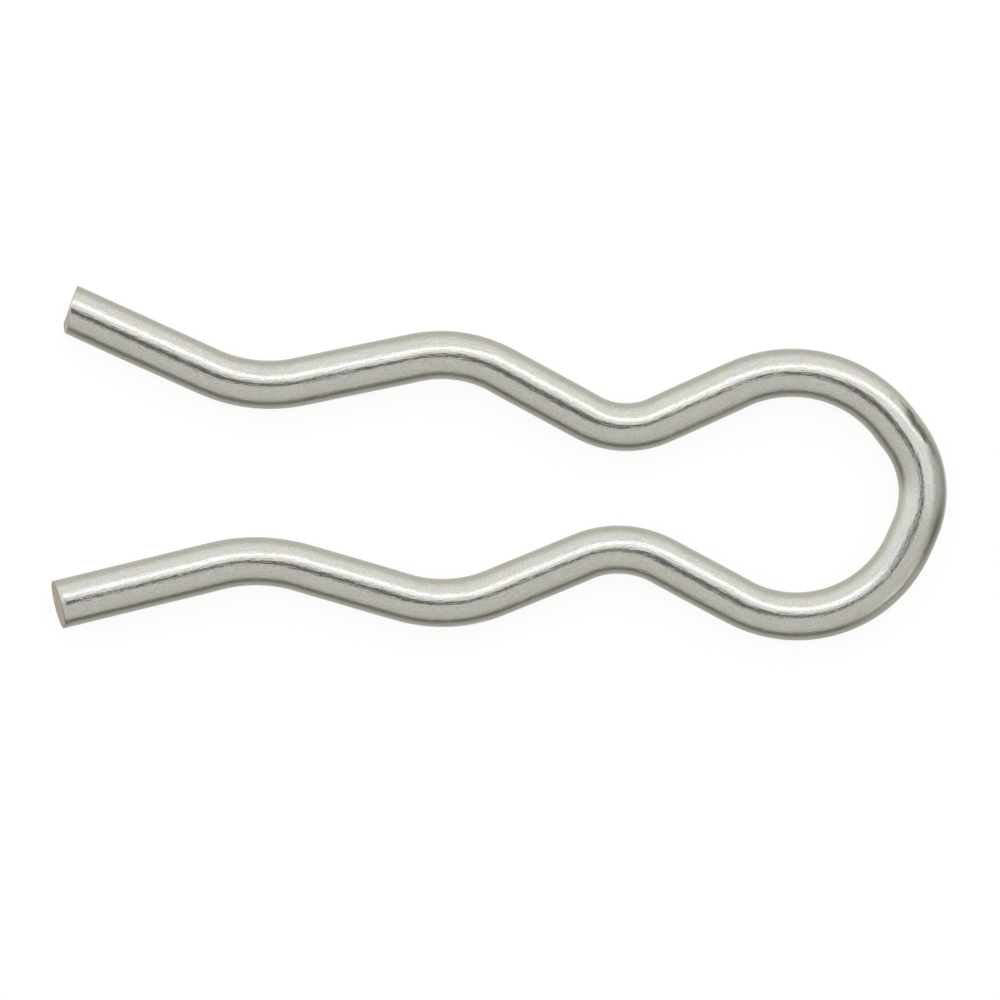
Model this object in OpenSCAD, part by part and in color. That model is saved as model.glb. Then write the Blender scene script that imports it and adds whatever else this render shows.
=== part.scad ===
// Hitch pin clip with two waved legs, also called an R clip or a hairpin clip.
// It is one length of round spring wire, bent flat. From the eye the two legs pinch in at
// the neck, go round the shaft at the seat, pinch in again at the mouth and then flare out
// to their sheared ends. The legs were bent one after the other, so they are not quite alike.
//
// The clip lies on the XY plane. The origin is under the middle of the shaft's seat and
// the clip's axis is X: the eye is at +X, the ends of the legs are at -X, and the upper leg
// is the one on the +Y side.

/* [Wire] */
// Diameter of the round wire
wire_d = 4; // [3:0.1:5]

/* [Seat] */
// Diameter of the shaft that the legs go round
shaft_d = 16; // [14:0.1:18]
// Play of that shaft between the two legs
shaft_play = 0.25; // [0.1:0.05:1]
// Inside radius of the upper leg at the seat
upper_seat_r = 8.2; // [7:0.1:10]
// Inside radius of the lower leg at the seat
lower_seat_r = 9.5; // [8:0.1:11]

/* [Neck] */
// Gap between the legs at the neck, where the eye begins
neck_gap = 6; // [4:0.1:8]
// Distance from the middle of the seat to the neck bend of the upper leg
upper_neck_x = 14.5; // [13:0.1:16]
// Distance from the middle of the seat to the neck bend of the lower leg
lower_neck_x = 15.1; // [13.5:0.1:16.5]
// Inside radius of the upper neck bend
upper_neck_r = 4.6; // [3:0.1:6.5]
// Inside radius of the lower neck bend
lower_neck_r = 5.6; // [3:0.1:6.5]

/* [Mouth] */
// Gap between the legs at the mouth, where the shaft snaps in
mouth_gap = 10.4; // [9:0.1:12]
// How far the middle of the mouth lies off the axis, towards the lower leg
mouth_drop = 0.28; // [0:0.02:0.6]
// Distance from the middle of the seat to the mouth bend of the upper leg
upper_mouth_x = 15.1; // [12.5:0.1:18]
// Distance from the middle of the seat to the mouth bend of the lower leg
lower_mouth_x = 14.1; // [12.5:0.1:18]
// Inside radius of the upper mouth bend
upper_mouth_r = 10; // [7:0.1:13]
// Inside radius of the lower mouth bend
lower_mouth_r = 11.5; // [7:0.1:13]

/* [Leg ends] */
// Angle at which the end of the upper leg flares away from the axis
upper_flare_angle = 21.4; // [12:0.1:28]
// Angle at which the end of the lower leg flares away from the axis
lower_flare_angle = 16.8; // [12:0.1:28]
// Straight length of the upper leg past its mouth bend
upper_lead = 12.5; // [8:0.1:18]
// Straight length of the lower leg past its mouth bend
lower_lead = 13.3; // [8:0.1:18]
// Slant of the upper end's sheared face, seen from above
upper_shear_angle = 3; // [0:0.1:10]
// Slant of the part of the upper end that broke out under the shear, seen from above
upper_break_angle = 13; // [11:0.1:25]
// How far from the middle of the wire that broken part begins
upper_break_y = 1; // [0:0.05:1.3]
// Slant of the lower end's sheared face, seen from the side
lower_shear_angle = 9; // [0:0.1:15]

/* [Eye] */
// Distance from the middle of the seat to the inside of the eye's far end
eye_reach = 37.28; // [36:0.02:44]
// Width of the eye's opening, across the axis
eye_w = 15.87; // [14:0.01:17.5]
// How far the middle of that opening lies off the axis, towards the upper leg
eye_rise = 0.23; // [0:0.01:0.5]
// Inside radius of the bend at the eye's far end
eye_end_r = 5.6; // [4:0.1:6.5]
// How far the tip of that bend lies off the axis, towards the upper leg
eye_end_rise = 0.57; // [0:0.01:1]
// Distance along the axis from that far end back to the widest point of the upper side
upper_shoulder_in = 8.64; // [7.5:0.01:11]
// Distance along the axis from that far end back to the widest point of the lower side
lower_shoulder_in = 8.27; // [7.5:0.01:11]
// Inside radius of the eye's upper shoulder
upper_shoulder_r = 8.55; // [6:0.05:10]
// Inside radius of the eye's lower shoulder
lower_shoulder_r = 8; // [6:0.05:10]

/* [Hidden] */

// Every bend goes round a pin of its own, and the wire's centre line runs half a wire
// further out than the pin's own surface.
half_wire = wire_d / 2;
seat_h = (shaft_d + shaft_play) / 2 + half_wire;
neck_h = neck_gap / 2 + half_wire;
upper_mouth_h = mouth_gap / 2 - mouth_drop + half_wire;
lower_mouth_h = mouth_gap / 2 + mouth_drop + half_wire;
upper_eye_h = eye_w / 2 + eye_rise + half_wire;
lower_eye_h = eye_w / 2 - eye_rise + half_wire;
eye_end_x = eye_reach + half_wire;
end_bend_r = eye_end_r + half_wire;

// Most of the room between two crests that their bends may take up
bend_share = 0.98;

// The wire is drawn at a hundredth of its size and enlarged once it is whole, so that
// neighbouring stretches meet exactly.
draw_scale = 100;

// Facets round the wire, and round a full turn of a bend
wire_facets = 48;
bend_facets = 144;

// A leg is worked out with the axis as X and the leg on the +Y side, from the tip of the
// eye at -X to the leg's end at +X. Its crests are the points where it is furthest from
// the axis or nearest to it, each [x, y, radius of the centre line's bend].
upper_crests = [
    [upper_shoulder_in - eye_reach, upper_eye_h, upper_shoulder_r + half_wire],
    [-upper_neck_x, neck_h, upper_neck_r + half_wire],
    [0, seat_h, upper_seat_r + half_wire],
    [upper_mouth_x, upper_mouth_h, upper_mouth_r + half_wire]
];
lower_crests = [
    [lower_shoulder_in - eye_reach, lower_eye_h, lower_shoulder_r + half_wire],
    [-lower_neck_x, neck_h, lower_neck_r + half_wire],
    [0, seat_h, lower_seat_r + half_wire],
    [lower_mouth_x, lower_mouth_h, lower_mouth_r + half_wire]
];

// Two crests that follow each other have room for bends whose radii add up to this much.
// Bends that are too wide for their room get tighter in proportion, which always leaves a
// straight between them.
function room(a, b) = (pow(b.x - a.x, 2) + pow(b.y - a.y, 2)) / (2 * abs(b.y - a.y));
function kept(a, b) = min(1, bend_share * room(a, b) / (a.z + b.z));

// A shoulder turns the same way as the bend at the eye's end, which leaves it room for
// this radius.
function shoulder_room(crest, end_y) =
    let (
        along = eye_end_x + crest.x,
        across = crest.y - end_y
    )
    (pow(along - end_bend_r, 2) + pow(across, 2) - pow(end_bend_r, 2)) / (2 * (across - end_bend_r));

function fitted_r(crests, i, end_y) =
    let (
        before = i > 0
            ? kept(crests[i - 1], crests[i])
            : min(1, bend_share * shoulder_room(crests[0], end_y) / crests[0].z),
        after = i < len(crests) - 1 ? kept(crests[i], crests[i + 1]) : 1
    )
    crests[i].z * min(before, after);

// The pins of a leg, each [x, y, radius of the centre line round it], from the eye's end to
// the mouth. The radius is negative where the wire turns right round that pin.
function leg_pins(crests, end_y) = [
    [end_bend_r - eye_end_x, end_y, -end_bend_r],
    for (i = [0 : len(crests) - 1])
        let (r = (i % 2 == 0 ? -1 : 1) * fitted_r(crests, i, end_y))
        [crests[i].x, crests[i].y + r, r]
];

// Heading and length of the straight from one pin to the next, which touches both
function pin_gap(a, b) = norm([b.x - a.x, b.y - a.y]);
function heading(a, b) = atan2(b.y - a.y, b.x - a.x) - asin((b.z - a.z) / pin_gap(a, b));
function straight(a, b) = sqrt(pow(pin_gap(a, b), 2) - pow(b.z - a.z, 2));

// The steps of a leg, each [straight length, bend radius, turn], with left turns positive.
// The wire leaves the tip of the eye square to the axis, and the steps run from there to
// the straight lead at the leg's end.
tip_heading = 90;
function leg_steps(pins, flare) =
    let (
        last = len(pins) - 1,
        straights = [0, for (i = [1 : last]) straight(pins[i - 1], pins[i])],
        headings = [tip_heading, for (i = [1 : last]) heading(pins[i - 1], pins[i]), flare]
    )
    [for (i = [0 : last]) [straights[i], abs(pins[i].z), headings[i + 1] - headings[i]]];

upper_steps = leg_steps(leg_pins(upper_crests, eye_end_rise), upper_flare_angle);
lower_steps = leg_steps(leg_pins(lower_crests, -eye_end_rise), lower_flare_angle);

// Turns are set to a hundredth of a degree, and lengths to a hundredth of a millimetre.
fine_turn = 0.01;
fine_length = 0.01;
function set_to(value, step) = round(value / step) * step;

// A straight stretch of wire along +X
module stretch(length) {
    if (length > 0)
        rotate([0, 90, 0])
            cylinder(d = wire_d / draw_scale, h = length / draw_scale, $fn = wire_facets);
}

// A bend that leaves the origin along +X and turns left or right
module bend(radius, turn) {
    translate([0, sign(turn) * radius / draw_scale, 0])
        rotate([0, 0, turn > 0 ? -90 : 90 + turn])
            rotate_extrude(angle = abs(turn), $fn = bend_facets)
                translate([radius / draw_scale, 0])
                    circle(d = wire_d / draw_scale, $fn = wire_facets);
}

// Puts what follows a bend at its far end, by turning it about the bend's pin
module after_bend(radius, turn) {
    pin_y = sign(turn) * radius / draw_scale;
    translate([0, pin_y, 0])
        rotate([0, 0, turn])
            translate([0, -pin_y, 0])
                children();
}

// What the shear took off beyond a leg's end: all past a flat face through the point
// [x, y], which slants by an angle seen from above and one seen from the side
module sheared_off(x, y, slant_above, slant_side) {
    size = 2 * wire_d / draw_scale;
    translate([x / draw_scale, y / draw_scale, 0])
        rotate([0, slant_side, slant_above])
            translate([0, -size / 2, -size / 2])
                cube(size);
}

// The straight lead of the upper leg: its end is sheared, and its inner edge broke out
module upper_end() {
    break_back = upper_break_y * tan(upper_shear_angle);
    difference() {
        stretch(upper_lead + half_wire);
        sheared_off(upper_lead, 0, -upper_shear_angle, 0);
        sheared_off(upper_lead - break_back, -upper_break_y, -upper_break_angle, 0);
    }
}

// The straight lead of the lower leg: its end is sheared from the top
module lower_end() {
    difference() {
        stretch(lower_lead + half_wire);
        sheared_off(lower_lead, 0, 0, -lower_shear_angle);
    }
}

// Draws the steps one after another, each from where the last one stopped, then the lead
module draw_steps(steps, i = 0) {
    if (i < len(steps)) {
        length = set_to(steps[i][0], fine_length);
        radius = set_to(steps[i][1], fine_length);
        turn = set_to(steps[i][2], fine_turn);
        stretch(length);
        translate([length / draw_scale, 0, 0]) {
            bend(radius, turn);
            after_bend(radius, turn)
                draw_steps(steps, i + 1)
                    children();
        }
    } else {
        children();
    }
}

// One leg with its half of the eye, laid out as the functions above have it
module leg(steps, end_y) {
    translate([-eye_end_x / draw_scale, end_y / draw_scale, 0])
        rotate([0, 0, tip_heading])
            draw_steps(steps)
                children();
}

module clip() {
    color("silver")
        translate([0, 0, half_wire])
            scale(draw_scale) {
                mirror([1, 0, 0])
                    leg(upper_steps, eye_end_rise)
                        upper_end();
                rotate([0, 0, 180])
                    leg(lower_steps, -eye_end_rise)
                        lower_end();
            }
}

clip();
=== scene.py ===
import math

import bmesh
import bpy
from mathutils import Matrix, Vector, noise


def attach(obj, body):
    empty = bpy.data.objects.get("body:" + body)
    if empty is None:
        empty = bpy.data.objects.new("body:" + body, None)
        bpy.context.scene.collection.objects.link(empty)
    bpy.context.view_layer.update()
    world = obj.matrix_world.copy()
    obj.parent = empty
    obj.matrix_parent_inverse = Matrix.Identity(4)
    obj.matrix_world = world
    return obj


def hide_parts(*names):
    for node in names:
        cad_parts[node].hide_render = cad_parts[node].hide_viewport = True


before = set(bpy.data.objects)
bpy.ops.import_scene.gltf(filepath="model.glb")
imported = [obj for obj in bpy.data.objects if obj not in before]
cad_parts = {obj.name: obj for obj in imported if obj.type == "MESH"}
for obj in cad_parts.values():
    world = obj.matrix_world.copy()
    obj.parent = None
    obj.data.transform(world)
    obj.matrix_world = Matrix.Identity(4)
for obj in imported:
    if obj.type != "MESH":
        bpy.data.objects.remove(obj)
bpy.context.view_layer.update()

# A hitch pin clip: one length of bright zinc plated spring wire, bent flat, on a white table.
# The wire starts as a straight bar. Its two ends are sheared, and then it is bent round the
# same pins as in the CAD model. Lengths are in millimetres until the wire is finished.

MM = 0.001

# Sizes of the clip, as the CAD model has them
WIRE_D = 4.0
HALF_WIRE = WIRE_D / 2
SEAT_W = 16.25
NECK_GAP = 6.0
MOUTH_GAP = 10.4
MOUTH_DROP = 0.28
EYE_W = 15.87
EYE_RISE = 0.23
EYE_REACH = 37.28
EYE_END_R = 5.6
EYE_END_RISE = 0.57

# Crests of each leg from the eye to the mouth: how far past the seat, how far from the
# clip's axis to the inside of the wire, and the inside radius of the bend there
UPPER_CRESTS = [
    (8.64 - EYE_REACH, EYE_W / 2 + EYE_RISE, 8.55),
    (-14.5, NECK_GAP / 2, 4.6),
    (0.0, SEAT_W / 2, 8.2),
    (15.1, MOUTH_GAP / 2 - MOUTH_DROP, 10.0),
]
LOWER_CRESTS = [
    (8.27 - EYE_REACH, EYE_W / 2 - EYE_RISE, 8.0),
    (-15.1, NECK_GAP / 2, 5.6),
    (0.0, SEAT_W / 2, 9.5),
    (14.1, MOUTH_GAP / 2 + MOUTH_DROP, 11.5),
]
UPPER_LEAD, UPPER_FLARE = 12.5, 21.4
LOWER_LEAD, LOWER_FLARE = 13.3, 16.8

# Slants of the sheared faces in degrees. The upper one broke out from this far below the
# middle of the wire, and the break also leans back.
UPPER_SHEAR = 3.0
UPPER_BREAK = 20.0
UPPER_BREAK_LEAN = 8.0
UPPER_BREAK_Y = 1.0
UPPER_BREAK_Z = -1.0
LOWER_SHEAR = 9.0

# The rounded edges of the cuts, wider round the break, and how far apart and how deep the
# tears in the faces are
EDGE_R = 0.12
BREAK_EDGE_R = 0.28
TEAR_STEP = 0.35
TEAR_DEPTH = 0.06

# Corners that the cuts left closer together than this are joined
MERGE_GAP = 0.004

# The shear dragged the top of the lower end down before it cut: how deep, and how far along
# the wire this reaches
DRAG_DEPTH = 0.13
DRAG_LENGTH = 0.42

# Facets round the wire, rings along it, and the plain stretch kept for the cuts at each end
ROUND_FACETS = 64
RING_STEP = 0.3
PLAIN_END = 1.2
END_CUTS = 9
SPARE = 1.0

# A bend presses the wire narrower by this much over its radius, and eases in and out
BEND_SQUEEZE = 0.1
SQUEEZE_EASE = 1.5

# Hollows that straightening and bending left in the wire: their depth, and their length
# along the wire and round it
HOLLOW_DEPTH = 0.05
HOLLOW_LENGTH = 7.0
HOLLOW_WIDTH = 2.4

# Flat that the bending tool pressed on the outside of the eye's upper shoulder: where along
# the wire from the eye's tip, how far round from the top, its half length and half width,
# how deep it is and how ragged its edge
MARK_AT = -5.6
MARK_ROUND = 45.0
MARK_HALF = (2.4, 0.5)
MARK_DEPTH = 0.04
MARK_RAGGED = 0.6


def leg_steps(crests, end_y, flare):
    """Steps [straight, radius, turn in degrees] of a leg's centre line, from the eye's tip."""
    end_r = EYE_END_R + HALF_WIRE
    pins = [(end_r - EYE_REACH - HALF_WIRE, end_y, -end_r)]
    for i, (x, y, inside_r) in enumerate(crests):
        r = (inside_r + HALF_WIRE) * (-1 if i % 2 == 0 else 1)
        pins.append((x, y + HALF_WIRE + r, r))
    straights, headings = [0.0], [90.0]
    for (ax, ay, ar), (bx, by, br) in zip(pins, pins[1:]):
        gap = math.hypot(bx - ax, by - ay)
        straights.append(math.sqrt(gap**2 - (br - ar) ** 2))
        headings.append(math.degrees(math.atan2(by - ay, bx - ax) - math.asin((br - ar) / gap)))
    headings.append(flare)
    return [
        (straights[i], abs(pins[i][2]), headings[i + 1] - headings[i]) for i in range(len(pins))
    ]


def leg_bends(steps):
    """Bends [start, arc length, radius, turn in radians] by distance from the eye's tip."""
    start, bends = 0.0, []
    for straight, radius, degrees in steps:
        turn = math.radians(degrees)
        start += straight
        bends.append((start, radius * abs(turn), radius, turn))
        start += radius * abs(turn)
    return bends


upper_bends = leg_bends(leg_steps(UPPER_CRESTS, EYE_END_RISE, UPPER_FLARE))
lower_bends = leg_bends(leg_steps(LOWER_CRESTS, -EYE_END_RISE, LOWER_FLARE))
UPPER_END = -(upper_bends[-1][0] + upper_bends[-1][1] + UPPER_LEAD)
LOWER_END = lower_bends[-1][0] + lower_bends[-1][1] + LOWER_LEAD


def smooth(value, low, high):
    """0 up to low, 1 from high, and a smooth rise between them."""
    share = min(max((value - low) / (high - low), 0.0), 1.0)
    return share * share * (3 - 2 * share)


def straight_bar(bm):
    """A straight round bar along X, open at both ends, with rings all along its bent part."""
    circle = bmesh.ops.create_circle(bm, segments=ROUND_FACETS, radius=HALF_WIRE)["verts"]
    bmesh.ops.rotate(bm, verts=circle, matrix=Matrix.Rotation(math.radians(90), 3, "Y"))
    bmesh.ops.translate(bm, verts=circle, vec=(UPPER_END - SPARE, 0, 0))
    edges = bm.edges[:]
    bent_length = LOWER_END - UPPER_END - 2 * PLAIN_END
    for length in (SPARE + PLAIN_END, bent_length, PLAIN_END + SPARE):
        grown = bmesh.ops.extrude_edge_only(bm, edges=edges)["geom"]
        ring = [part for part in grown if isinstance(part, bmesh.types.BMVert)]
        bmesh.ops.translate(bm, verts=ring, vec=(length, 0, 0))
        edges = [e for e in grown if isinstance(e, bmesh.types.BMEdge) and e.is_boundary]
    bmesh.ops.subdivide_edges(
        bm,
        edges=[e for e in bm.edges if e.calc_length() > bent_length / 2],
        cuts=round(bent_length / RING_STEP),
        use_grid_fill=True,
    )


def shear(bm, at, facing):
    """Cuts off what lies past a flat face, and closes the cut with that face."""
    bmesh.ops.bisect_plane(
        bm,
        geom=bm.verts[:] + bm.edges[:] + bm.faces[:],
        plane_co=at,
        plane_no=facing,
        clear_outer=True,
        dist=1e-5,
    )
    rim = [e for e in bm.edges if e.is_boundary and abs(e.verts[0].co.x - at.x) < WIRE_D]
    return bmesh.ops.edgeloop_fill(bm, edges=rim)["faces"]


def shear_ends(bm, sheared):
    """Shears both ends, rounds the edges of the cuts and tears the faces."""
    slant = math.radians(UPPER_SHEAR)
    shear(bm, Vector((UPPER_END, 0, 0)), Vector((-math.cos(slant), -math.sin(slant), 0)))
    back = UPPER_BREAK_Y * math.tan(slant)
    break_facing = Matrix.Rotation(math.radians(UPPER_BREAK), 3, "Z") @ Vector(
        (-1, 0, math.tan(math.radians(UPPER_BREAK_LEAN)))
    )
    shear(bm, Vector((UPPER_END + back, -UPPER_BREAK_Y, UPPER_BREAK_Z)), break_facing.normalized())
    tilt = math.radians(LOWER_SHEAR)
    shear(bm, Vector((LOWER_END, 0, 0)), Vector((math.cos(tilt), 0, math.sin(tilt))))
    bmesh.ops.recalc_face_normals(bm, faces=bm.faces[:])

    for radius in (BREAK_EDGE_R, EDGE_R):
        caps = [f for f in bm.faces if len(f.verts) > 8]
        rims = {e for f in caps for e in f.edges if e.calc_face_angle() > math.radians(40)}
        broken = {
            e
            for e in rims
            if e.verts[0].co.x < 0 and max(v.co.y for v in e.verts) < -UPPER_BREAK_Y
        }
        bmesh.ops.bevel(
            bm,
            geom=list(broken if radius == BREAK_EDGE_R else rims),
            offset=radius,
            segments=4,
            profile=0.5,
            affect="EDGES",
            material=-1,
            clamp_overlap=True,
        )
    # Closer rings keep the rounded edge's shading from running along the wire
    plain = [
        e
        for e in bm.edges
        if e.calc_length() > PLAIN_END / 2 and abs(e.verts[0].co.x - e.verts[1].co.x) > PLAIN_END / 2
    ]
    bmesh.ops.subdivide_edges(bm, edges=plain, cuts=END_CUTS, use_grid_fill=True)
    faces = [f for f in bm.faces if len(f.verts) > 8]
    steps = round(WIRE_D / TEAR_STEP)
    for axis in (Vector((0, 1, 0)), Vector((0, 0, 1))):
        for i in range(1, steps):
            cut = bmesh.ops.bisect_plane(
                bm,
                geom=faces + list({e for f in faces for e in f.edges})
                + list({v for f in faces for v in f.verts}),
                plane_co=axis * (i * WIRE_D / steps - HALF_WIRE),
                plane_no=axis,
                dist=1e-5,
            )
            faces = [f for f in cut["geom"] if isinstance(f, bmesh.types.BMFace)]
    bmesh.ops.remove_doubles(bm, verts=bm.verts[:], dist=MERGE_GAP)
    for face in bm.faces:
        if abs(face.normal.x) > 0.6:
            for vert in face.verts:
                vert[sheared] = 1.0
    for vert in bm.verts:
        reach = math.hypot(vert.co.y, vert.co.z)
        if vert[sheared] and reach < HALF_WIRE - EDGE_R:
            inwards = -math.copysign(TEAR_DEPTH, vert.co.x)
            vert.co.x += inwards * (0.5 + 0.5 * noise.noise(Vector((0, vert.co.y * 2.5, vert.co.z * 5))))


def squeeze(along):
    """How much narrower the wire is in the plane of its bends, as a share of its width."""
    bends = lower_bends if along > 0 else upper_bends
    most = 0.0
    for start, arc, radius, _ in bends:
        past = abs(along)
        inside = smooth(past, start - SQUEEZE_EASE, start + SQUEEZE_EASE)
        inside *= 1 - smooth(past, start + arc - SQUEEZE_EASE, start + arc + SQUEEZE_EASE)
        if start == 0:
            inside = 1 - smooth(past, arc - SQUEEZE_EASE, arc + SQUEEZE_EASE)
        most = max(most, inside * BEND_SQUEEZE / radius)
    return most


def work_surface(bm, stock, pressed):
    """Presses in the bends, the tool's mark and the shallow hollows of worked wire."""
    for vert in bm.verts:
        along, y, z = vert[stock]
        outwards = Vector((0, y, z)).normalized()
        hollow = noise.noise(
            Vector((along / HOLLOW_LENGTH, y / HOLLOW_WIDTH, z / HOLLOW_WIDTH))
        )
        depth = HOLLOW_DEPTH * (0.1 + 0.5 * hollow)
        round_by = math.radians(MARK_ROUND) - math.atan2(y, z)
        reach = math.hypot((along - MARK_AT) / MARK_HALF[0], HALF_WIRE * round_by / MARK_HALF[1])
        reach += MARK_RAGGED * noise.noise(Vector((along * 1.5, y * 4, z * 4)))
        vert[pressed] = 1 - smooth(reach, 0.4, 1.2)
        depth += MARK_DEPTH * vert[pressed]
        full_r = math.hypot(y, z)
        from_face = LOWER_END - z * math.tan(math.radians(LOWER_SHEAR)) - along
        drag = DRAG_DEPTH * smooth(z, -HALF_WIRE / 2, HALF_WIRE) * full_r / HALF_WIRE
        vert.co.z -= drag * max(1 - max(from_face, 0) / DRAG_LENGTH, 0) ** 2
        vert.co -= outwards * min(depth, full_r)
        vert.co.y *= 1 - squeeze(along)


def bend_leg(bm, stock, side, bends):
    """Bends the straight wire on one side of the eye's tip, the furthest bend first."""
    for start, arc, radius, turn in reversed(bends):
        pin = Vector((side * start, math.copysign(radius, turn), 0))
        for vert in bm.verts:
            past = side * vert[stock].x - start
            if past > 0:
                share = min(past / arc, 1)
                vert.co.x -= side * share * arc
                vert.co = pin + Matrix.Rotation(side * share * turn, 3, "Z") @ (vert.co - pin)


def make_wire():
    bm = bmesh.new()
    # Each point keeps its place on the straight bar, which the finish follows round the bends
    stock = bm.verts.layers.float_vector.new("stock")
    sheared = bm.verts.layers.float.new("sheared")
    pressed = bm.verts.layers.float.new("pressed")
    straight_bar(bm)
    shear_ends(bm, sheared)
    for vert in bm.verts:
        vert[stock] = vert.co
    work_surface(bm, stock, pressed)
    bend_leg(bm, stock, 1, lower_bends)
    bend_leg(bm, stock, -1, upper_bends)

    everything = bm.verts[:]
    bmesh.ops.rotate(bm, verts=everything, matrix=Matrix.Rotation(math.radians(-90), 3, "Z"))
    tip = (EYE_REACH + HALF_WIRE, EYE_END_RISE, HALF_WIRE)
    bmesh.ops.translate(bm, verts=everything, vec=tip)
    bmesh.ops.scale(bm, verts=everything, vec=(MM, MM, MM))
    for face in bm.faces:
        face.smooth = True

    mesh = bpy.data.meshes.new("wire")
    bm.to_mesh(mesh)
    bm.free()
    wire = bpy.data.objects.new("wire", mesh)
    bpy.context.scene.collection.objects.link(wire)
    return wire


def linear(hex_colour):
    """An sRGB hex colour as linear RGBA."""
    channels = [int(hex_colour[i : i + 2], 16) / 255 for i in (1, 3, 5)]
    return [
        *(c / 12.92 if c <= 0.04045 else ((c + 0.055) / 1.055) ** 2.4 for c in channels),
        1.0,
    ]


def add(tree, kind, settings=None, inputs=None):
    """Adds a node, sets its properties, and sets or links its inputs."""
    node = tree.nodes.new(kind)
    for name, value in (settings or {}).items():
        setattr(node, name, value)
    for socket, value in (inputs or {}).items():
        if isinstance(value, bpy.types.NodeSocket):
            tree.links.new(value, node.inputs[socket])
        else:
            node.inputs[socket].default_value = value
    return node


# Sockets of the colour Mix node, by number because their names repeat
MIX_FACTOR, MIX_A, MIX_B, MIX_RESULT = 0, 6, 7, 2


def make_zinc():
    """Bright zinc plate on drawn spring wire: a light, warm grey mirror that fine draw lines
    and the plating's grain break up, with the faint colours of its clear passivation. The
    sheared ends show steel that has gone slightly brown."""
    material = bpy.data.materials.new("bright_zinc_plate_on_drawn_wire")
    material.use_nodes = True
    tree = material.node_tree
    tree.nodes.clear()
    stock = add(tree, "ShaderNodeAttribute", {"attribute_name": "stock"}).outputs["Vector"]
    sheared = add(tree, "ShaderNodeAttribute", {"attribute_name": "sheared"}).outputs["Fac"]
    pressed = add(tree, "ShaderNodeAttribute", {"attribute_name": "pressed"}).outputs["Fac"]

    # Draw lines, about 0.13 mm apart and 1 mm long
    lines_place = add(
        tree, "ShaderNodeMapping", {}, {"Vector": stock, "Scale": (1.0, 7.5, 7.5)}
    ).outputs["Vector"]
    lines = add(
        tree, "ShaderNodeTexNoise", {}, {"Vector": lines_place, "Scale": 1.0, "Detail": 2.0}
    ).outputs["Fac"]
    # Grain of the plating, about 0.3 mm, drawn out along the wire
    grain_place = add(
        tree, "ShaderNodeMapping", {}, {"Vector": stock, "Scale": (2.2, 3.6, 3.6)}
    ).outputs["Vector"]
    grain = add(
        tree, "ShaderNodeTexNoise", {}, {"Vector": grain_place, "Scale": 1.0, "Detail": 2.0}
    ).outputs["Fac"]
    tears = add(
        tree, "ShaderNodeTexNoise", {}, {"Vector": stock, "Scale": 6.0, "Detail": 4.0}
    ).outputs["Fac"]
    normal = add(
        tree, "ShaderNodeBump", {}, {"Height": lines, "Distance": 0.013 * MM}
    ).outputs["Normal"]
    normal = add(
        tree,
        "ShaderNodeBump",
        {},
        {"Height": grain, "Distance": 0.009 * MM, "Normal": normal},
    ).outputs["Normal"]
    normal = add(
        tree,
        "ShaderNodeBump",
        {},
        {"Height": tears, "Distance": 0.06 * MM, "Strength": sheared, "Normal": normal},
    ).outputs["Normal"]

    # Faint patches of colour, about 1 mm across
    patches = add(
        tree, "ShaderNodeTexNoise", {}, {"Vector": stock, "Scale": 0.7, "Detail": 1.0}
    ).outputs["Color"]
    colour = add(
        tree,
        "ShaderNodeMix",
        {"data_type": "RGBA", "blend_type": "OVERLAY"},
        {MIX_FACTOR: 0.34, MIX_A: linear("#ecece5"), MIX_B: patches},
    ).outputs[MIX_RESULT]
    # The draw lines and the plating's fine grain, about 0.1 mm, also show as slight streaks
    for scale, darkest in (((1.2, 8.0, 8.0), 0.92), ((6.0, 9.0, 9.0), 0.86)):
        place = add(
            tree, "ShaderNodeMapping", {}, {"Vector": stock, "Scale": scale}
        ).outputs["Vector"]
        streaks = add(
            tree, "ShaderNodeTexNoise", {}, {"Vector": place, "Scale": 1.0, "Detail": 1.0}
        ).outputs["Fac"]
        streaks = add(
            tree,
            "ShaderNodeMapRange",
            {},
            {"Value": streaks, "From Min": 0.3, "From Max": 0.7, "To Min": darkest},
        ).outputs["Result"]
        colour = add(
            tree,
            "ShaderNodeMix",
            {"data_type": "RGBA", "blend_type": "MULTIPLY"},
            {MIX_FACTOR: 1.0, MIX_A: colour, MIX_B: streaks},
        ).outputs[MIX_RESULT]
    colour = add(
        tree,
        "ShaderNodeMix",
        {"data_type": "RGBA"},
        {MIX_FACTOR: pressed, MIX_A: colour, MIX_B: linear("#7b7d70")},
    ).outputs[MIX_RESULT]
    browned = add(
        tree, "ShaderNodeTexNoise", {}, {"Vector": stock, "Scale": 1.1, "Detail": 2.0}
    ).outputs["Fac"]
    browned = add(
        tree, "ShaderNodeMapRange", {}, {"Value": browned, "From Min": 0.42, "From Max": 0.68}
    ).outputs["Result"]
    torn_steel = add(
        tree,
        "ShaderNodeMix",
        {"data_type": "RGBA"},
        {MIX_FACTOR: browned, MIX_A: linear("#dfddcd"), MIX_B: linear("#dfc3b0")},
    ).outputs[MIX_RESULT]
    colour = add(
        tree,
        "ShaderNodeMix",
        {"data_type": "RGBA"},
        {MIX_FACTOR: sheared, MIX_A: colour, MIX_B: torn_steel},
    ).outputs[MIX_RESULT]

    roughness = add(
        tree,
        "ShaderNodeMapRange",
        {},
        {"Value": sheared, "To Min": 0.17, "To Max": 0.42},
    ).outputs["Result"]
    shader = add(
        tree,
        "ShaderNodeBsdfPrincipled",
        {},
        {"Base Color": colour, "Metallic": 1.0, "Roughness": roughness, "Normal": normal},
    ).outputs["BSDF"]
    add(tree, "ShaderNodeOutputMaterial", {}, {"Surface": shader})
    return material


wire = make_wire()
wire.data.materials.append(make_zinc())
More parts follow.
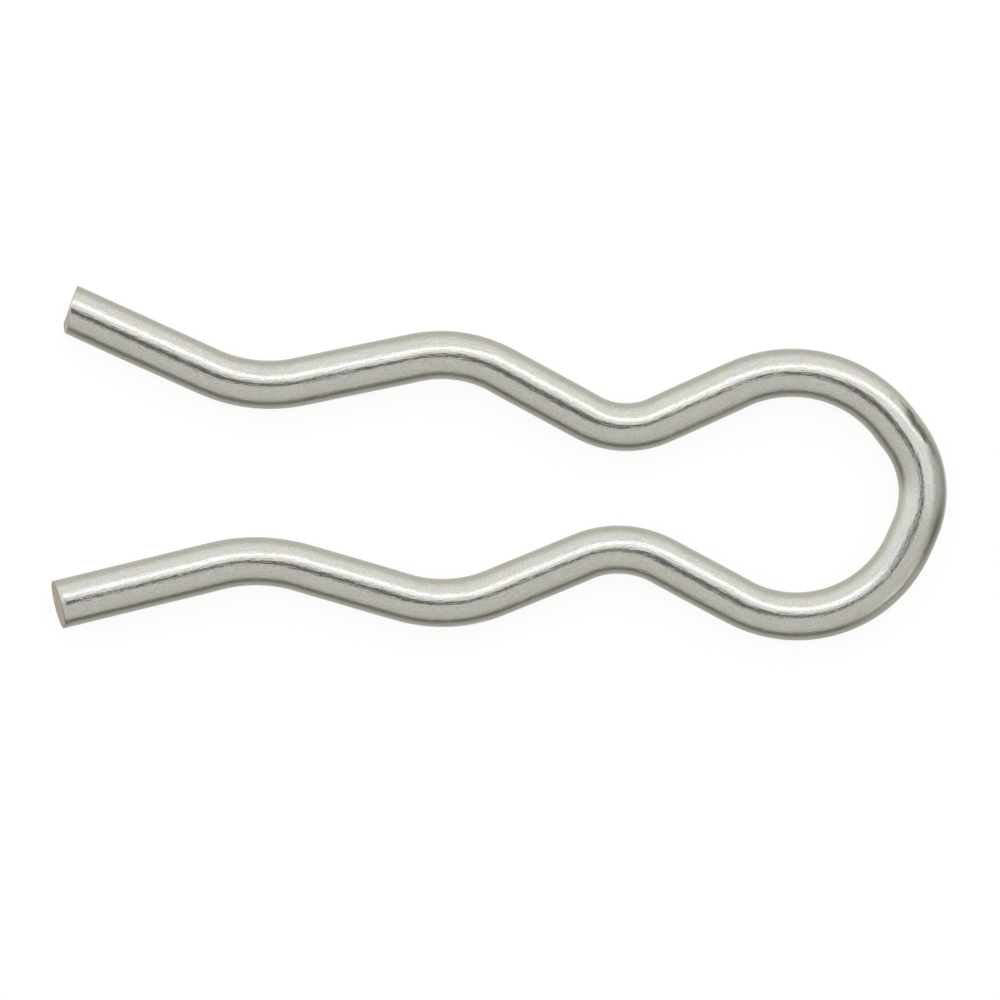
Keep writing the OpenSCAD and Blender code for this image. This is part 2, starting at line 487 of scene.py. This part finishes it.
# The wire doesn't mirror itself. Its legs lie so far apart, and the tent is so even, that
# their reflections in each other hardly show in the real clip.
wire.visible_glossy = False
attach(wire, "root")
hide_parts("clip")


# The camera looks straight down through a long lens, and the clip lies 3 degrees off level
VIEW_TURN = math.radians(3.0)
VIEW_CENTRE = Vector((4.845, -1.468, HALF_WIRE)) * MM
VIEW_WIDTH = 81.633 * MM
LENS, SENSOR = 800.0, 36.0

camera_data = bpy.data.cameras.new("camera")
camera_data.lens = LENS
camera_data.sensor_width = SENSOR
camera_data.clip_start = 0.01
camera = bpy.data.objects.new("camera", camera_data)
camera.location = VIEW_CENTRE + Vector((0, 0, VIEW_WIDTH * LENS / SENSOR))
camera.rotation_euler = (0, 0, VIEW_TURN)
bpy.context.scene.collection.objects.link(camera)
bpy.context.scene.camera = camera


FLOOR_HALF = 2.0


def make_floor():
    """The white table. It shows white with the clip's soft shadow, and the clip mirrors the
    room's own white below the horizon in its place."""
    bm = bmesh.new()
    bmesh.ops.create_grid(bm, x_segments=1, y_segments=1, size=FLOOR_HALF)
    mesh = bpy.data.meshes.new("floor")
    bm.to_mesh(mesh)
    bm.free()
    floor = bpy.data.objects.new("floor", mesh)
    bpy.context.scene.collection.objects.link(floor)

    material = bpy.data.materials.new("white_acrylic_sheet")
    material.use_nodes = True
    tree = material.node_tree
    tree.nodes.clear()
    light_path = add(tree, "ShaderNodeLightPath").outputs
    sheet = add(tree, "ShaderNodeBsdfDiffuse", {}, {"Color": linear("#f4f4f4")}).outputs["BSDF"]
    glow = add(
        tree, "ShaderNodeEmission", {}, {"Color": (1, 1, 1, 1), "Strength": 1.1}
    ).outputs["Emission"]
    lit_sheet = add(tree, "ShaderNodeMixShader", {}, {0: 0.8, 1: sheet, 2: glow}).outputs[0]
    seen = add(
        tree, "ShaderNodeMixShader", {}, {0: light_path["Is Camera Ray"], 1: sheet, 2: lit_sheet}
    ).outputs[0]
    clear = add(tree, "ShaderNodeBsdfTransparent").outputs["BSDF"]
    surface = add(
        tree, "ShaderNodeMixShader", {}, {0: light_path["Is Glossy Ray"], 1: seen, 2: clear}
    ).outputs[0]
    add(tree, "ShaderNodeOutputMaterial", {}, {"Surface": surface})
    floor.data.materials.append(material)


make_floor()


# The light tent round the table, by degrees from straight up: how bright it is and how much
# blue it has. One half has the softbox, and the other half is dimmer, with a dark gap between
# the tent and the table.
BRIGHT_HALF = [
    (0, 0.86, 0.95), (25, 0.88, 1.02), (45, 0.89, 1.02), (74, 0.89, 0.98), (90, 0.8, 0.95),
    (106, 0.62, 0.9), (128, 0.57, 0.91), (150, 0.6, 0.93), (168, 0.75, 0.96), (180, 0.75, 0.96),
]
DIM_HALF = [
    (0, 0.62, 0.94), (45, 0.62, 0.94), (74, 0.57, 0.93), (86, 0.46, 0.91), (94, 0.18, 0.84),
    (105, 0.17, 0.82), (115, 0.33, 0.87), (127, 0.42, 0.93), (150, 0.47, 0.96),
    (168, 0.7, 0.96), (180, 0.75, 0.96),
]
# The bright half is centred this many degrees round from the picture's right
BRIGHT_TOWARDS = 88.0
# A brighter panel hangs level over the bright half: its direction in degrees, where it
# begins and ends that way and where its left side ends, all as shares of its height, and its
# extra light
PANEL_TOWARDS = 108.0
PANEL_REACH = (0.4, 0.5, 0.78, 0.92)
PANEL_LEFT = (0.15, 0.5)
PANEL_LIGHT = 0.62
# What stands out in the tent: the dark lens just off straight up, the arm that holds it, the
# tent's open side, and a lighter corner beside it. Each is placed by degrees round from the
# picture's right and from straight up, with the way that it is turned, its half size in the
# tent and how much of the light it lets through or adds.
TENT_SPOTS = [
    (228, 2.2, 54, (0.26, 0.092, 1.0), 0.03),
    (153, 16.0, 125, (0.16, 0.07, 1.0), 0.1),
    (2, 96, 2, (0.85, 0.5, 0.7), 0.6),
    (-42, 98, -42, (0.7, 0.4, 0.35), 1.8),
]


def towards(degrees_round, degrees_down):
    """A direction by degrees round from the picture's right and degrees from straight up."""
    a = math.radians(degrees_round) + VIEW_TURN
    b = math.radians(degrees_down)
    return (math.sin(b) * math.cos(a), math.sin(b) * math.sin(a), math.cos(b))


def tent_half(tree, angle, stops):
    """The tent's colours on one half, by the angle from straight up."""
    ramp = add(tree, "ShaderNodeValToRGB", {}, {"Fac": angle})
    elements = ramp.color_ramp.elements
    elements.remove(elements[-1])
    for i, (degrees, tone, blue) in enumerate(stops):
        element = elements.new(degrees / 180) if i else elements[0]
        element.color = (tone, tone * (0.8 + 0.2 * blue), tone * blue, 1)
    return ramp.outputs["Color"]


def make_room():
    world = bpy.data.worlds.new("light_tent")
    bpy.context.scene.world = world
    world.use_nodes = True
    tree = world.node_tree
    tree.nodes.clear()
    direction = add(tree, "ShaderNodeTexCoord").outputs["Generated"]

    up = add(tree, "ShaderNodeSeparateXYZ", {}, {"Vector": direction}).outputs["Z"]
    angle = add(tree, "ShaderNodeMath", {"operation": "ARCCOSINE"}, {0: up}).outputs[0]
    angle = add(
        tree, "ShaderNodeMath", {"operation": "DIVIDE"}, {0: angle, 1: math.pi}
    ).outputs[0]

    level = add(
        tree, "ShaderNodeVectorMath", {"operation": "MULTIPLY"}, {0: direction, 1: (1, 1, 0)}
    ).outputs[0]
    level = add(tree, "ShaderNodeVectorMath", {"operation": "NORMALIZE"}, {0: level}).outputs[0]
    bright_side = add(
        tree,
        "ShaderNodeVectorMath",
        {"operation": "DOT_PRODUCT"},
        {0: level, 1: towards(BRIGHT_TOWARDS, 90)},
    ).outputs["Value"]
    bright_side = add(
        tree,
        "ShaderNodeMapRange",
        {"interpolation_type": "SMOOTHSTEP"},
        {"Value": bright_side, "From Min": -0.35, "From Max": 0.1},
    ).outputs["Result"]
    tent = add(
        tree,
        "ShaderNodeMix",
        {"data_type": "RGBA"},
        {
            MIX_FACTOR: bright_side,
            MIX_A: tent_half(tree, angle, DIM_HALF),
            MIX_B: tent_half(tree, angle, BRIGHT_HALF),
        },
    ).outputs[MIX_RESULT]

    # The panel's own light, on top of the tent's
    across = add(
        tree,
        "ShaderNodeVectorMath",
        {"operation": "DOT_PRODUCT"},
        {0: direction, 1: towards(PANEL_TOWARDS, 90)},
    ).outputs["Value"]
    reach = add(tree, "ShaderNodeMath", {"operation": "DIVIDE"}, {0: across, 1: up}).outputs[0]
    starts = add(
        tree,
        "ShaderNodeMapRange",
        {"interpolation_type": "SMOOTHSTEP"},
        {"Value": reach, "From Min": PANEL_REACH[0], "From Max": PANEL_REACH[1]},
    ).outputs["Result"]
    stops = add(
        tree,
        "ShaderNodeMapRange",
        {"interpolation_type": "SMOOTHSTEP"},
        {
            "Value": reach,
            "From Min": PANEL_REACH[2],
            "From Max": PANEL_REACH[3],
            "To Min": PANEL_LIGHT,
            "To Max": 0.0,
        },
    ).outputs["Result"]
    leftwards = add(
        tree,
        "ShaderNodeVectorMath",
        {"operation": "DOT_PRODUCT"},
        {0: direction, 1: towards(PANEL_TOWARDS + 90, 90)},
    ).outputs["Value"]
    leftwards = add(
        tree, "ShaderNodeMath", {"operation": "DIVIDE"}, {0: leftwards, 1: up}
    ).outputs[0]
    left_side = add(
        tree,
        "ShaderNodeMapRange",
        {"interpolation_type": "SMOOTHSTEP"},
        {
            "Value": leftwards,
            "From Min": PANEL_LEFT[0],
            "From Max": PANEL_LEFT[1],
            "To Min": 1.0,
            "To Max": 0.0,
        },
    ).outputs["Result"]
    panel = starts
    for share in (stops, left_side, bright_side):
        panel = add(
            tree, "ShaderNodeMath", {"operation": "MULTIPLY"}, {0: panel, 1: share}
        ).outputs[0]
    strength = add(tree, "ShaderNodeMath", {"operation": "ADD"}, {0: panel, 1: 1.0}).outputs[0]

    for degrees_round, degrees_down, turned, half_size, light_left in TENT_SPOTS:
        place = add(
            tree,
            "ShaderNodeMapping",
            {"vector_type": "TEXTURE"},
            {
                "Vector": direction,
                "Location": towards(degrees_round, degrees_down),
                "Rotation": (0, 0, math.radians(turned) + VIEW_TURN),
                "Scale": half_size,
            },
        ).outputs["Vector"]
        reach = add(
            tree, "ShaderNodeVectorMath", {"operation": "LENGTH"}, {0: place}
        ).outputs["Value"]
        light = add(
            tree,
            "ShaderNodeMapRange",
            {"interpolation_type": "SMOOTHSTEP"},
            {"Value": reach, "From Min": 0.75, "From Max": 1.2, "To Min": light_left},
        ).outputs["Result"]
        strength = add(
            tree, "ShaderNodeMath", {"operation": "MULTIPLY"}, {0: light, 1: strength}
        ).outputs[0]
    lit = add(
        tree, "ShaderNodeBackground", {}, {"Color": tent, "Strength": strength}
    ).outputs["Background"]
    white = add(
        tree, "ShaderNodeBackground", {}, {"Color": (1, 1, 1, 1), "Strength": 1.0}
    ).outputs["Background"]
    light_path = add(tree, "ShaderNodeLightPath").outputs
    surface = add(
        tree, "ShaderNodeMixShader", {}, {0: light_path["Is Camera Ray"], 1: lit, 2: white}
    ).outputs[0]
    add(tree, "ShaderNodeOutputWorld", {}, {"Surface": surface})


make_room()
bpy.context.scene.view_settings.view_transform = "Standard"
